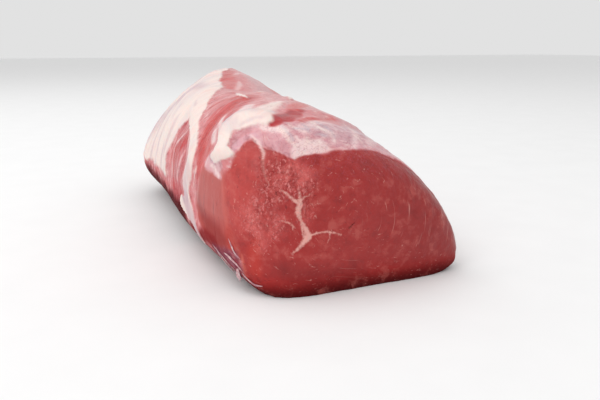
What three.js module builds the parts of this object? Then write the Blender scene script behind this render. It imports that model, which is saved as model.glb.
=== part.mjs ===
// A raw veal eye of round: one long rounded muscle, trimmed square across the grain at the front and left in its own
// silverskin and fat everywhere else. It has settled on its underside, so the belly is flat and the cut end slumps wider
// and lower than the tail.
//
// Millimetres, +Z up. Y runs along the grain from the cut face (-Y) to the tail (+Y), X from the left flank to the right
// one as seen by someone who looks at the cut face, and the meat rests on Z = 0.
//
// The skin is worked out from two numbers: how far a point lies behind the cut face, and its clock angle round the
// muscle, in degrees, where 0 is the right flank, 90 the crest, 180 the left flank and 270 the belly.

import * as THREE from "three";

// Driving sizes.
const LENGTH = 300;
const STATION_STEP = 60; // the cross-section is given every 60 mm, from the cut face to the tail
const SECTION = {
  leftX: [-59, -59.5, -57, -53, -50.5, -48.5], // widest point of the left flank
  rightX: [61, 64, 66, 64, 60, 54], // widest point of the right flank
  crestX: [-24, -18, -8, 4, 16, 26],
  crestZ: [77, 84, 89, 92, 96, 94],
  leftZ: [30, 32, 32, 32, 32, 30], // height of the left flank's widest point
  rightZ: [10, 14, 20, 28, 34, 40], // height of the right flank's widest point
};
// How full each quarter of the cross-section is: 2 is an ellipse, more is squarer, less is flatter.
const FULLNESS = {
  rightTop: [1.7, 1.72, 1.83, 1.9, 2.0, 2.1],
  leftTop: [2.6, 2.5, 2.25, 1.95, 1.52, 1.32],
  leftBottom: [2.3, 2.6, 2.7, 2.3, 2.2, 2.2],
  rightBottom: [4.0, 4.0, 3.5, 3.0, 3.0, 3.0],
};
const SETTLED = 3; // how deep the belly is pressed flat

// Each end closes over a depth and with a fullness that differ to the right, top, left and bottom.
const CUT_FACE = { depth: [8, 44, 38, 6], fullness: [4.0, 2.6, 2.4, 4.5], poleX: -2, poleZ: 34 };
const TAIL = { depth: [30, 46, 60, 30], fullness: [2.6, 2.4, 2.4, 2.6], poleX: 14, poleZ: 44 };

// Swellings and hollows of the muscle: place, reach and height.
const LUMPS = [
  { x: 18, y: 148, z: 88, reach: 34, height: -6.5 }, // waist across the crest
  { x: 28, y: 50, z: 68, reach: 34, height: 2.6 }, // shoulder above the cut face
  { x: 30, y: 262, z: 88, reach: 30, height: 1.5 }, // rump of the tail
  { x: -20, y: 4, z: 12, reach: 22, height: 2.0 }, // lip where the cut face slumps
  { x: 30, y: 3, z: 12, reach: 24, height: 1.6 },
  { x: -52, y: 26, z: 42, reach: 20, height: -1.8 }, // dip behind the left edge of the cut
  { x: 62, y: 120, z: 40, reach: 30, height: 1.8 }, // right flank
  { x: 56, y: 215, z: 56, reach: 24, height: -2.2 },
  { x: -8, y: 300, z: 40, reach: 24, height: -2.5 }, // dimple in the tail
];

// Cords of fat that stand proud of the muscle, and furrows between its bundles. Each runs through points given as
// distance behind the cut face and clock angle, and has a half width and a height.
const RIDGES = [
  { path: [[32, 146], [44, 138], [50, 126], [46, 112], [34, 104]], halfWidth: 8, height: 2.2 }, // fat cord
  { path: [[100, 176], [82, 160], [96, 148], [124, 132], [160, 118]], halfWidth: 7, height: 1.8 }, // fat strap
  { path: [[112, 182], [108, 166], [116, 150], [136, 142]], halfWidth: 7, height: -1.5 }, // bare furrow
  { path: [[66, 150], [80, 126], [74, 104], [96, 92], [150, 94]], halfWidth: 8, height: -1.2 }, // long furrow
  { path: [[150, 168], [170, 140], [205, 118], [240, 104]], halfWidth: 10, height: 1.6 }, // tail fat
  { path: [[60, 22], [130, 14], [200, 20], [250, 34]], halfWidth: 9, height: -2.0 }, // right seam
  { path: [[70, 44], [130, 36], [190, 46]], halfWidth: 9, height: 1.6 }, // right fat strap
];
const RIDGE_STEPS = 12; // straight pieces between two points of a ridge

// Fineness of the skin.
const GIRTH_STEPS = 76;
const LENGTH_STEPS = 62;
const CAP_SHARE = 0.3; // share of the length steps that each end takes

const DEGREE = Math.PI / 180;

// A value between stations, on a smooth curve through all of them.
function between(values, y) {
  const last = values.length - 1;
  const place = THREE.MathUtils.clamp(y / STATION_STEP, 0, last);
  const i = Math.min(Math.floor(place), last - 1);
  const u = place - i;
  const slope = (k) => (values[Math.min(k + 1, last)] - values[Math.max(k - 1, 0)]) / (k === 0 || k === last ? 1 : 2);
  return (
    (2 * u ** 3 - 3 * u ** 2 + 1) * values[i] +
    (u ** 3 - 2 * u ** 2 + u) * slope(i) +
    (3 * u ** 2 - 2 * u ** 3) * values[i + 1] +
    (u ** 3 - u ** 2) * slope(i + 1)
  );
}

// A value that is given to the right, top, left and bottom, blended round the clock.
function aroundClock([right, top, left, bottom], clock) {
  const c = Math.cos(clock);
  const s = Math.sin(clock);
  return (c > 0 ? right : left) * c * c + (s > 0 ? top : bottom) * s * s;
}

// A coordinate of a superellipse: the cosine or sine with its fullness.
const bowed = (value, fullness) => Math.sign(value) * Math.abs(value) ** (2 / fullness);

// The full cross-section at y, before the ends close.
function sectionPoint(y, clock) {
  const c = Math.cos(clock);
  const s = Math.sin(clock);
  const right = c >= 0;
  const quarter = s >= 0 ? (right ? "rightTop" : "leftTop") : right ? "rightBottom" : "leftBottom";
  const fullness = between(FULLNESS[quarter], y);
  const crestX = between(SECTION.crestX, y);
  const widestX = between(right ? SECTION.rightX : SECTION.leftX, y);
  const widestZ = between(right ? SECTION.rightZ : SECTION.leftZ, y);
  const rise = s >= 0 ? between(SECTION.crestZ, y) - widestZ : widestZ + SETTLED;
  return {
    x: crestX + Math.abs(widestX - crestX) * bowed(c, fullness),
    z: widestZ + rise * bowed(s, fullness),
  };
}

// How open the end is at a distance behind its outermost point: 0 at the pole, 1 where the flank begins.
function openness(end, distance, clock) {
  const depth = aroundClock(end.depth, clock);
  const fullness = aroundClock(end.fullness, clock);
  const inside = THREE.MathUtils.clamp(1 - distance / depth, 0, 1);
  return (1 - inside ** fullness) ** (1 / fullness);
}

// A point of the smooth skin, for a distance behind the cut face and a clock angle.
function skinPoint(y, clock) {
  const end = y < LENGTH / 2 ? CUT_FACE : TAIL;
  const open = openness(end, end === CUT_FACE ? y : LENGTH - y, clock);
  const full = sectionPoint(y, clock);
  return new THREE.Vector3(end.poleX + (full.x - end.poleX) * open, y, end.poleZ + (full.z - end.poleZ) * open);
}

// The distance behind the cut face for a share of the way from pole to pole.
function distanceAlong(share, clock) {
  const arc = (end, part) => {
    const fullness = aroundClock(end.fullness, clock);
    const turn = (Math.min(part, 1) * Math.PI) / 2;
    return aroundClock(end.depth, clock) * (1 - Math.cos(turn) ** (2 / fullness));
  };
  if (share <= CAP_SHARE) return arc(CUT_FACE, share / CAP_SHARE);
  if (share >= 1 - CAP_SHARE) return LENGTH - arc(TAIL, (1 - share) / CAP_SHARE);
  const front = aroundClock(CUT_FACE.depth, clock);
  const back = LENGTH - aroundClock(TAIL.depth, clock);
  return front + ((back - front) * (share - CAP_SHARE)) / (1 - 2 * CAP_SHARE);
}

// Ridge lines laid on the smooth skin, as points close together.
const ridgeLines = RIDGES.map(({ path, halfWidth, height }) => ({
  halfWidth,
  height,
  points: new THREE.CatmullRomCurve3(path.map(([y, clock]) => skinPoint(y, clock * DEGREE))).getPoints(
    RIDGE_STEPS * (path.length - 1),
  ),
}));

// How far the skin stands out at a point of the smooth skin, from its lumps and ridges.
function relief(point) {
  let height = 0;
  for (const lump of LUMPS) {
    const away = point.distanceTo(new THREE.Vector3(lump.x, lump.y, lump.z)) / lump.reach;
    height += lump.height * Math.exp(-away * away);
  }
  for (const ridge of ridgeLines) {
    const away = Math.min(...ridge.points.map((p) => p.distanceTo(point))) / ridge.halfWidth;
    height += ridge.height * Math.exp(-(away ** 2));
  }
  return height;
}

// A point of the finished skin: pushed out along its normal by the relief, and pressed flat underneath.
function meatPoint(share, clock) {
  const at = (s, c) => skinPoint(distanceAlong(s, c), c);
  const point = at(share, clock);
  const step = 1e-3;
  const lengthways = at(Math.min(share + step, 1), clock).sub(at(Math.max(share - step, 0), clock));
  const girthways = at(share, clock + step).sub(at(share, clock - step));
  const normal = lengthways.cross(girthways);
  const pole = share < step || share > 1 - step;
  if (pole) normal.set(0, share < 0.5 ? -1 : 1, 0);
  normal.normalize();
  if (!pole && normal.dot(new THREE.Vector3(Math.cos(clock), 0, Math.sin(clock))) < 0) normal.negate();
  point.addScaledVector(normal, relief(point));
  point.z = Math.max(point.z, 0);
  return point;
}

// The whole muscle as a sphere whose poles lie on the Y axis, drawn out to its skin.
function meatGeometry() {
  const geometry = new THREE.SphereGeometry(1, GIRTH_STEPS, LENGTH_STEPS);
  const position = geometry.getAttribute("position");
  const direction = new THREE.Vector3();
  for (let i = 0; i < position.count; i++) {
    direction.fromBufferAttribute(position, i);
    const share = Math.acos(THREE.MathUtils.clamp(-direction.y, -1, 1)) / Math.PI;
    const point = meatPoint(share, Math.atan2(direction.z, direction.x));
    position.setXYZ(i, point.x, point.y, point.z);
  }
  geometry.computeVertexNormals();
  geometry.computeBoundingBox();
  return geometry;
}

function rawVealMaterial() {
  return new THREE.MeshStandardMaterial({ color: new THREE.Color(0.62, 0.2, 0.19), roughness: 0.38, metalness: 0 });
}

const meat = new THREE.Mesh(meatGeometry(), rawVealMaterial());
meat.name = "veal_eye_of_round";
const middle = meat.geometry.boundingBox.getCenter(new THREE.Vector3());
meat.position.set(-middle.x, -middle.y, 0); // the origin is under the middle of the meat

const group = new THREE.Group();
group.add(meat);
export default group;
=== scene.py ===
import math

import bpy
import numpy as np
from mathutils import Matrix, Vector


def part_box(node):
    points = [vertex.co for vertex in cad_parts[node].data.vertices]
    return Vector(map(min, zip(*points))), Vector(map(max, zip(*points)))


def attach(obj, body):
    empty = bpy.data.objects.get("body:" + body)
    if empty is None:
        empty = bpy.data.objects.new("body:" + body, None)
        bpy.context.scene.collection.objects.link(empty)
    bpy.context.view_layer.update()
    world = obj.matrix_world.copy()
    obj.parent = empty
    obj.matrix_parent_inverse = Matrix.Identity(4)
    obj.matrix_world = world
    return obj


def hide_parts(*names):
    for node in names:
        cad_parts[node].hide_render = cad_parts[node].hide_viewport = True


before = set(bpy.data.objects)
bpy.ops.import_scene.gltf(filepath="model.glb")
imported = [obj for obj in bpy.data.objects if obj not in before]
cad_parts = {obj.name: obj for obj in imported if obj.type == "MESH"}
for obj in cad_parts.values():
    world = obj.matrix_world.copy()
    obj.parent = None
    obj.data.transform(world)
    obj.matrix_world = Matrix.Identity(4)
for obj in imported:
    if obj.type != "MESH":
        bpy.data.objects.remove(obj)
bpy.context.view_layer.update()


# The muscle's skin
# A whole muscle of a calf's leg, cut off square at the front and in its own skin elsewhere, has settled on
# its underside. Its skin is worked out in millimetres from the distance behind the cut face and the clock
# angle round the muscle: 0 right flank, 90 crest, 180 left flank, 270 belly.
MM = 0.001
LENGTH = 300
STATION_STEP = 60
LEFT_X = [-59, -59.5, -57, -53, -50.5, -48.5]
RIGHT_X = [61, 64, 66, 64, 60, 54]
CREST_X = [-24, -18, -8, 4, 16, 26]
CREST_Z = [77, 84, 89, 92, 96, 94]
LEFT_Z = [30, 32, 32, 32, 32, 30]
RIGHT_Z = [10, 14, 20, 28, 34, 40]
RIGHT_TOP_FULLNESS = [1.7, 1.72, 1.83, 1.9, 2.0, 2.1]
LEFT_TOP_FULLNESS = [2.6, 2.5, 2.25, 1.95, 1.52, 1.32]
LEFT_BOTTOM_FULLNESS = [2.3, 2.6, 2.7, 2.3, 2.2, 2.2]
RIGHT_BOTTOM_FULLNESS = [4.0, 4.0, 3.5, 3.0, 3.0, 3.0]
SETTLED = 3
# Each end closes over a depth and with a fullness that differ to the right, top, left and bottom.
CUT_END = {"depth": [8, 44, 38, 6], "fullness": [4.0, 2.6, 2.4, 4.5], "pole": [-2, 34]}
TAIL_END = {"depth": [30, 46, 60, 30], "fullness": [2.6, 2.4, 2.4, 2.6], "pole": [14, 44]}
# Swellings and hollows: x, distance behind the cut face, z, reach and height.
LUMPS = [
    (18, 148, 88, 34, -6.5),
    (28, 50, 68, 34, 2.6),
    (30, 262, 88, 30, 1.5),
    (-20, 4, 12, 22, 2.0),
    (30, 3, 12, 24, 1.6),
    (-52, 26, 42, 20, -1.8),
    (62, 120, 40, 30, 1.8),
    (56, 215, 56, 24, -2.2),
    (-8, 300, 40, 24, -2.5),
]
# Cords of fat and furrows: half width, height, and a path of distance behind the cut and clock angle.
RIDGES = [
    (8, 2.2, [(32, 146), (44, 138), (50, 126), (46, 112), (34, 104)]),
    (7, 1.8, [(100, 176), (82, 160), (96, 148), (124, 132), (160, 118)]),
    (7, -1.5, [(112, 182), (108, 166), (116, 150), (136, 142)]),
    (8, -1.2, [(66, 150), (80, 126), (74, 104), (96, 92), (150, 94)]),
    (10, 1.6, [(150, 168), (170, 140), (205, 118), (240, 104)]),
    (9, -2.0, [(60, 22), (130, 14), (200, 20), (250, 34)]),
    (9, 1.6, [(70, 44), (130, 36), (190, 46)]),
]
GIRTH_STEPS, DENSE_STEPS = 288, 4001
FACE_RINGS, FLANK_RINGS, TAIL_RINGS = 112, 178, 48


def between(values, behind):
    """A value between stations: a cubic whose slope at a station is half the step across its neighbours."""
    values = np.asarray(values, float)
    slope = np.gradient(values)
    place = np.clip(behind / STATION_STEP, 0, len(values) - 1)
    i = np.minimum(place.astype(int), len(values) - 2)
    u = place - i
    return (
        (2 * u**3 - 3 * u**2 + 1) * values[i]
        + (u**3 - 2 * u**2 + u) * slope[i]
        + (3 * u**2 - 2 * u**3) * values[i + 1]
        + (u**3 - u**2) * slope[i + 1]
    )


def around_clock(values, clock):
    """A value for right, top, left and bottom, blended by the squares of the clock's cosine and sine."""
    c, s = np.cos(clock), np.sin(clock)
    return np.where(c > 0, values[0], values[2]) * c**2 + np.where(s > 0, values[1], values[3]) * s**2


def bowed(value, fullness):
    """A superellipse's coordinate: the cosine or sine to the power of 2 over the fullness, with its sign."""
    return np.sign(value) * np.abs(value) ** (2 / fullness)


def section(behind, clock):
    """x and z of the full section: a superellipse whose quarters each have their own size and fullness."""
    c, s = np.cos(clock), np.sin(clock)
    right, top = c >= 0, s >= 0
    top_fullness = np.where(right, between(RIGHT_TOP_FULLNESS, behind), between(LEFT_TOP_FULLNESS, behind))
    low_fullness = np.where(right, between(RIGHT_BOTTOM_FULLNESS, behind),
                            between(LEFT_BOTTOM_FULLNESS, behind))
    fullness = np.where(top, top_fullness, low_fullness)
    crest_x = between(CREST_X, behind)
    widest_x = np.where(right, between(RIGHT_X, behind), between(LEFT_X, behind))
    widest_z = np.where(right, between(RIGHT_Z, behind), between(LEFT_Z, behind))
    rise = np.where(top, between(CREST_Z, behind) - widest_z, widest_z + SETTLED)
    return crest_x + np.abs(widest_x - crest_x) * bowed(c, fullness), widest_z + rise * bowed(s, fullness)


def skin(behind, clock):
    """Points of the smooth skin. Near an end the section shrinks to the pole on a superellipse's profile."""
    behind, clock = np.broadcast_arrays(np.asarray(behind, float), np.asarray(clock, float))
    front = behind < LENGTH / 2
    ends = (CUT_END, TAIL_END)
    depth, fullness = (
        np.where(front, *(around_clock(end[name], clock) for end in ends)) for name in ("depth", "fullness")
    )
    pole_x, pole_z = (np.where(front, *(end["pole"][axis] for end in ends)) for axis in (0, 1))
    inside = np.clip(1 - np.where(front, behind, LENGTH - behind) / depth, 0, 1)
    openness = (1 - inside**fullness) ** (1 / fullness)
    x, z = section(behind, clock)
    return np.stack([pole_x + (x - pole_x) * openness, behind, pole_z + (z - pole_z) * openness], axis=-1)


def even_clocks(count, station=60, belly_share=0.4):
    """Clock angles a like distance apart round the section at a station, with the flat belly spaced wider."""
    dense = np.linspace(0, 2 * np.pi, DENSE_STEPS)
    x, z = section(np.full(dense.shape, float(station)), dense)
    step = np.hypot(np.diff(x), np.diff(z)) * np.where(z[1:] < 1, belly_share, 1)
    travelled = np.concatenate([[0], np.cumsum(step)])
    return np.interp(np.arange(count) / count * travelled[-1], travelled, dense)


def ring_distances(clock):
    """Distance behind the cut of each ring and clock: close rings over both ends, even ones between them."""

    def cap(end, share):
        """Distance from an end's tip: its depth times 1 less a turn's cosine to the power 2 / fullness."""
        fullness = around_clock(end["fullness"], clock)
        turn = np.pi / 2 * share[:, None] ** (fullness / 2)
        return around_clock(end["depth"], clock) * (1 - np.cos(turn) ** (2 / fullness))

    face = cap(CUT_END, np.linspace(0, 1, FACE_RINGS + 1))
    tail = LENGTH - cap(TAIL_END, np.linspace(1, 0, TAIL_RINGS + 1))
    share = np.linspace(0, 1, FLANK_RINGS + 1)[1:-1, None]
    return np.vstack([face, face[-1:] * (1 - share) + tail[:1] * share, tail])


def curve_through(points, steps=14):
    """A curve through all the points, of cubics whose slope there is half the step across the neighbours."""
    points = np.asarray(points, float)
    padded = np.vstack([2 * points[0] - points[1], points, 2 * points[-1] - points[-2]])
    t = np.linspace(0, 1, steps, endpoint=False)[:, None]
    stretches = [
        0.5 * (2 * b + (c - a) * t + (2 * a - 5 * b + 4 * c - d) * t**2 + (3 * b - a - 3 * c + d) * t**3)
        for a, b, c, d in zip(padded, padded[1:], padded[2:], padded[3:])
    ]
    return np.vstack(stretches + [points[-1:]])


def bell(points, centres, reach):
    """1 at the nearest of some centres, falling off as a bell curve of that reach."""
    nearest = np.full(points.shape[:-1], np.inf)
    for centre in centres:
        nearest = np.minimum(nearest, ((points - centre) ** 2).sum(axis=-1))
    return np.exp(-nearest / reach**2)


def skin_path(path):
    """Points of the smooth skin along a path of distance behind the cut and clock angle in degrees."""
    path = np.asarray(path, float)
    return curve_through(skin(path[:, 0], np.radians(path[:, 1])))


clocks = even_clocks(GIRTH_STEPS)
behind = ring_distances(clocks)
clock = np.broadcast_to(clocks, behind.shape)
degrees = np.degrees(clock)
smooth = skin(behind, clock)

lengthways = np.gradient(smooth, axis=0)
girthways = np.roll(smooth, -1, axis=1) - np.roll(smooth, 1, axis=1)
outward = np.cross(lengthways, girthways)
outward /= np.maximum(np.linalg.norm(outward, axis=-1, keepdims=True), 1e-9)
from_axis = np.stack([np.cos(clock), 0 * clock, np.sin(clock)], axis=-1)
outward *= np.where((outward * from_axis).sum(axis=-1) < 0, -1, 1)[..., None]
outward[0], outward[-1] = (0, -1, 0), (0, 1, 0)

form = sum(height * bell(smooth, [place], reach) for *place, reach, height in LUMPS)
form = form + sum(height * bell(smooth, skin_path(path), half) for half, height, path in RIDGES)


# Natural unevenness
# Nothing on raw meat is ruled with a straight edge: its fat, films and fibres wander a little. Smooth random
# fields give that wander. They are the same in every run.
LATTICE = 48


def cloud(points, size, seed):
    """A smooth random field from -1 to 1: random heights on a lattice, eased between its corners."""
    heights = np.random.default_rng(seed).uniform(-1, 1, (LATTICE, LATTICE, LATTICE))
    place = points / size
    cell = np.floor(place).astype(int)
    t = place - cell
    t = t**2 * (3 - 2 * t)
    total = 0
    for corner in np.ndindex(2, 2, 2):
        weight = np.prod(np.where(corner, t, 1 - t), axis=-1)
        i, j, k = np.moveaxis((cell + corner) % LATTICE, -1, 0)
        total = total + weight * heights[i, j, k]
    return total


def cloudy(points, size, seed, layers=3):
    """Several clouds on top of each other, each half the size and half the height of the one before."""
    return sum(cloud(points, size / 2**n, seed + n) / 2**n for n in range(layers))


def ease(value):
    """0 below 0 and 1 above 1, with a smooth slope between."""
    value = np.clip(value, 0, 1)
    return value**2 * (3 - 2 * value)


wander = np.stack([cloudy(smooth, 9, seed) for seed in (11, 21, 31)], axis=-1)
wandering = smooth + 1.1 * wander
uneven_behind = behind + 1.6 * cloudy(smooth, 10, 41)
uneven_degrees = degrees + 1.5 * cloudy(smooth, 10, 51)


def stroke(path, softness=1.2, on=None):
    """1 inside a stroke, easing out past it. Its path: distance behind the cut, clock angle, half width."""
    path = np.asarray(path, float)
    points = curve_through(np.column_stack([skin(path[:, 0], np.radians(path[:, 1])), path[:, 2]]), steps=12)
    return painted(points, softness, wandering if on is None else on)


def painted(points, softness, on):
    """How far inside the nearest round dab of a stroke each point of the skin is, eased over the softness."""
    low = (points[:, :3] - points[:, 3:]).min(axis=0) - softness
    high = (points[:, :3] + points[:, 3:]).max(axis=0) + softness
    near = ((on > low) & (on < high)).all(axis=-1)
    here = on[near]
    depth = np.full(len(here), -np.inf)
    for x, y, z, half in points:
        depth = np.maximum(depth, half - np.sqrt(((here - (x, y, z)) ** 2).sum(axis=-1)))
    amount = np.zeros(on.shape[:-1])
    amount[near] = ease(depth / softness + 0.5)
    return amount


def patch(rows, softness=3, blur=4):
    """1 inside a patch. Its rows give a clock angle and how far behind the cut it starts and ends there."""
    at, start, end = np.asarray(rows, float).T
    inside = ease((uneven_behind - np.interp(uneven_degrees, at, start)) / softness + 0.5)
    inside = inside * ease((np.interp(uneven_degrees, at, end) - uneven_behind) / softness + 0.5)
    return inside * ease((uneven_degrees - at[0]) / blur + 0.5) * ease((at[-1] - uneven_degrees) / blur + 0.5)


# The cut face
# The knife went straight across the grain, so the front shows the ends of the muscle's bundles, wet and deep
# red. One white vein of fat forks in it, and a ragged patch beside the vein has crumbled under the knife.
CUT_EDGE = [  # clock angle and how far behind the foremost point the cut ends there
    (0, 8), (20, 8), (32, 9.8), (37, 12.4), (47, 12.9), (56, 12.5), (65, 11.4), (74, 9.9), (82, 9),
    (89, 8.5), (97, 8.3), (107, 8.5), (112, 8.2), (115, 9.6), (116, 11.2), (119, 14.2), (121, 16),
    (123.6, 16.9), (124.5, 24.6), (129, 26.2), (133, 26.5), (141, 26.2), (147, 26.5), (150, 27), (154, 30),
    (158, 30.5), (161, 29), (165, 28), (172, 26), (178, 24.5), (184, 20.5), (193, 18), (199, 17.4),
    (206, 15.6), (215, 15.5), (227, 14.5), (233, 11.5), (245, 8), (270, 5), (320, 5), (345, 7), (360, 8),
]
RIM = [
    (15.2, 132, 0.3), (16.6, 127.4, 0.55), (18.8, 124.8, 0.7), (21.8, 123.7, 0.75), (25, 123.2, 0.7),
    (27.7, 123, 0.5),
]
VEIN = [  # x, z and half width, seen from the front
    [(-29.6, 47, 0.6), (-29.4, 44, 1.2), (-30.3, 40.5, 1.3), (-29.3, 37, 0.8), (-27.6, 33.5, 0.9),
     (-26.2, 30.6, 1.3), (-25.9, 28.6, 1.6), (-28, 26.3, 1.0), (-31, 23.4, 0.5), (-33.6, 21, 0.3)],
    [(-26, 29, 0.7), (-23, 29.9, 0.4), (-19, 30.2, 0.4), (-15.5, 29.9, 0.5), (-12.5, 29.2, 0.3),
     (-10, 28, 0.2)],
    [(-15.8, 29.6, 0.3), (-15.8, 27.6, 0.2), (-17, 25.4, 0.15)],
    [(-37.8, 36.7, 0.25), (-35, 35.8, 0.3), (-33.2, 34.2, 0.4), (-32.6, 32, 0.25)],
    [(-37.4, 50.6, 0.1), (-35, 48.6, 0.5), (-32.6, 46.4, 0.7), (-30.2, 44.6, 0.7)],
    [(-29.6, 50.8, 0.1), (-29.6, 47, 0.7)],
    [(-24.6, 48.6, 0.1), (-27.4, 47.4, 0.3), (-29.4, 45.8, 0.6)],
    [(-28.8, 34.6, 0.5), (-28.6, 31.5, 0.4), (-27.8, 28.8, 0.7)],
]
SEAM = [(-41.6, 67, 0.6), (-42.6, 64.2, 0.5), (-43.3, 61, 0.4), (-43.3, 57.6, 0.35), (-42.6, 54, 0.2)]
FACE_REACH = 45
CRUMBLED = [  # x, z and half width of the dabs that make up the ragged patch
    [(-38, 59, 6), (-30, 58, 5.5), (-26, 54, 5), (-38, 52, 6), (-43, 47, 4.5)],
    [(-46, 44, 4), (-49, 38, 3.5), (-48, 31, 3), (-46, 26, 2)],
    [(-40, 38, 3), (-40, 31, 2.4)],
    [(-27, 46, 2), (-27, 40, 2.4), (-28, 36, 1.6)],
]


def face_stroke(rows, softness=0.7):
    """A stroke on the cut face, given as seen from the front: only x and z count, and only on the face."""
    rows = curve_through(np.asarray(rows, float), steps=12)
    flat = wandering * (1, 0, 1) * 0.35 + smooth * (1, 0, 1) * 0.65
    points = np.column_stack([rows[:, 0], 0 * rows[:, 0], rows[:, 1], rows[:, 2]])
    return painted(points, softness, flat) * (behind < FACE_REACH)


def most(layers):
    """The strongest of several layers at each point."""
    return np.max(list(layers), axis=0)


edge_softness = 1 + 3 * ease((degrees - 148) / 10) * ease((190 - degrees) / 8)
cut = np.interp(degrees, *np.transpose(CUT_EDGE)) - behind - 0.6 * cloudy(smooth, 7, 61)
rim = stroke(RIM, softness=0.9, on=smooth + 0.3 * wander)
cut = ease(cut / edge_softness + 0.5) * (1 - rim)
vein = most(face_stroke(branch, softness=2.2) for branch in VEIN) * cut
seam = face_stroke(SEAM, softness=0.9)
crumbled = most(face_stroke(dab, softness=9) for dab in CRUMBLED) * cut


# The fat
# Soft cream fat lies on the film: a thick cord behind the shoulder, a strap down the left flank, and a broad
# sheet over the left of the tail. Its edges were trimmed and rolled by hand, so it stands proud and rounded.
FAT_STROKES = [  # amount, softness, path
    (0.85, 4, [(31.5, 106, 4), (37, 110, 7), (41, 115, 8), (45, 119, 7)]),
    (1.0, 2, [(46, 118, 5), (47, 124, 6), (45, 130, 5), (41, 135, 4.5), (38, 139, 4.5), (35.5, 143, 4.2)]),
    (1.0, 1.4, [(29.5, 142.5, 2), (32, 144, 3.4), (36, 146, 4), (41, 147.6, 3.7), (46, 148.8, 2.4)]),
    (0.45, 4, [(40, 104, 4), (46, 98, 5), (52, 92, 4), (62, 85, 2)]),
    (1.0, 2.4, [(142, 124, 10), (128, 128, 8), (114, 134, 7), (103, 139, 4.2), (95, 143.5, 3.4),
                (89, 148, 4.2), (84.5, 153, 5.2), (83, 160, 5.8), (84, 167, 5.4), (86, 174, 5)]),
    (0.8, 1.4, [(87, 172, 4.5), (88, 178, 6), (87, 184, 7), (94, 185, 6), (108, 185, 4)]),
    (0.8, 1.2, [(86, 180, 5.5), (81, 186, 5.4), (77.5, 191, 4.2), (74, 197, 3), (70.5, 203, 1.8),
                (68, 210, 0.7)]),
    (0.5, 2, [(72, 160, 1), (71, 166, 1.6), (74, 172, 1.2)]),
    (1.0, 0.9, [(86, 98.8, 0.4), (91, 99.6, 1.2), (98, 100.4, 1.6), (106, 100.9, 1.2), (115, 101.2, 0.4)]),
    (0.7, 1.5, [(84, 77, 0.8), (96, 74, 1.8), (106, 73, 0.8)]),
    (0.5, 3, [(110, 88, 3), (118, 84, 4), (124, 80, 2)]),
    (0.8, 5, [(70, 46, 2), (84, 42, 5), (104, 39, 7), (130, 37, 6), (150, 39, 8), (172, 43, 4),
              (196, 47, 2)]),
    (0.8, 2, [(118, 36, 2), (134, 28, 3), (150, 24, 2), (176, 21, 1.4), (196, 20, 0.6)]),
    (0.6, 2, [(180, 44, 2), (205, 34, 2.6), (232, 30, 1.6)]),
    (0.6, 4, [(258, 80, 1.5), (266, 68, 4.5), (270, 57, 6), (275, 47, 3.5), (272, 38, 1.2)]),
    (0.5, 4, [(262, 22, 1.5), (270, 14, 3.5), (274, 2, 1.5)]),
]
TAIL_FAT_TOP = [
    (90, 141), (100, 135), (110, 129), (120, 122), (130, 118), (140, 113), (150, 108), (165, 105),
    (200, 102), (222, 99), (234, 88), (250, 72), (300, 60),
]
TAIL_FAT_LOW = [(90, 175), (140, 178), (180, 179), (216, 180), (250, 183), (300, 200)]
LENS = [
    (137, 122, 130), (141, 112, 136), (144, 104, 139), (149, 96, 142), (156, 90, 144), (164, 89, 146),
    (171, 91, 147), (180, 95, 147), (190, 100, 146),
]


def layered(rows):
    """Strokes with their amounts, the strongest at each point."""
    return most(amount * stroke(path, softness) for amount, softness, path in rows)


lens = patch(LENS, softness=4)
tail_fat = ease((uneven_degrees - np.interp(behind, *np.transpose(TAIL_FAT_TOP))) / 5 + 0.5)
tail_fat = tail_fat * ease((np.interp(behind, *np.transpose(TAIL_FAT_LOW)) - uneven_degrees) / 9 + 0.5)
sheet_reach = np.hypot(np.hypot(smooth[..., 0] + 45, smooth[..., 2] - 58), np.maximum(behind - 250, 0))
ragged_reach = 70 + 9 * cloudy(smooth, 20, 71) + 4 * cloudy(smooth, 7, 73)
tail_fat = tail_fat * ease((ragged_reach - sheet_reach) / 4 + 0.5)
tail_fat = tail_fat * ease((behind - 95) / 10) * (1 - lens)
fat = np.maximum(layered(FAT_STROKES), tail_fat) * (1 - cut)
# Painted shade: the fat fades out low on the left of the tail, where the painted shade of the underside
# shows.
tail_foot_shade = ease((degrees - 169) / 22 + 0.4 * cloudy(smooth, 8, 75)) * ease((behind - 140) / 50)
fat = fat * (1 - 0.85 * tail_foot_shade)
# Round the girth the sheet of fat has pink-grey bands: painted shade of its folds. Other strokes lay
# pinkish-grey stains on the cord and on the strap down the left flank.
fold_shade_and_stain = layered([
    (0.9, 5, [(156, 140, 1), (153, 152, 1.6), (154, 166, 2.4), (156, 180, 2)]),
    (0.7, 5, [(176, 134, 1.5), (172, 150, 2.5), (172, 166, 3), (174, 182, 2)]),
    (0.8, 6, [(204, 128, 3), (197, 146, 3), (194, 164, 3.6), (196, 184, 3)]),
    (0.8, 6, [(230, 124, 4), (222, 144, 4), (218, 164, 4), (222, 184, 3)]),
    (0.8, 12, [(186, 116, 3), (206, 124, 8), (226, 136, 11), (244, 150, 12), (256, 166, 8)]),
    (0.6, 8, [(250, 110, 6), (262, 130, 8), (270, 150, 8)]),
    (0.6, 2, [(128, 130, 0.8), (134, 129, 1.6), (141, 127, 0.8)]),
    (0.7, 5, [(42, 107, 1.5), (47, 111, 2.6), (51, 117, 2.6), (51, 125, 2)]),
    (0.5, 3, [(34, 108, 0.8), (36, 113, 1.4), (38, 119, 1)]),
    (0.6, 3, [(54, 92, 0.8), (49, 99, 1.6), (44, 104, 1.4), (42, 109, 0.8)]),
    (0.5, 2, [(50, 124, 0.6), (50, 130, 1.4), (47, 136, 0.8)]),
    (0.5, 4, [(83, 160, 2), (83, 167, 5), (88, 176, 5)]),
    (1.0, 4, [(92, 180, 6), (85, 185, 7), (80, 189, 6), (75, 195, 5), (70, 205, 3)]),
])
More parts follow.
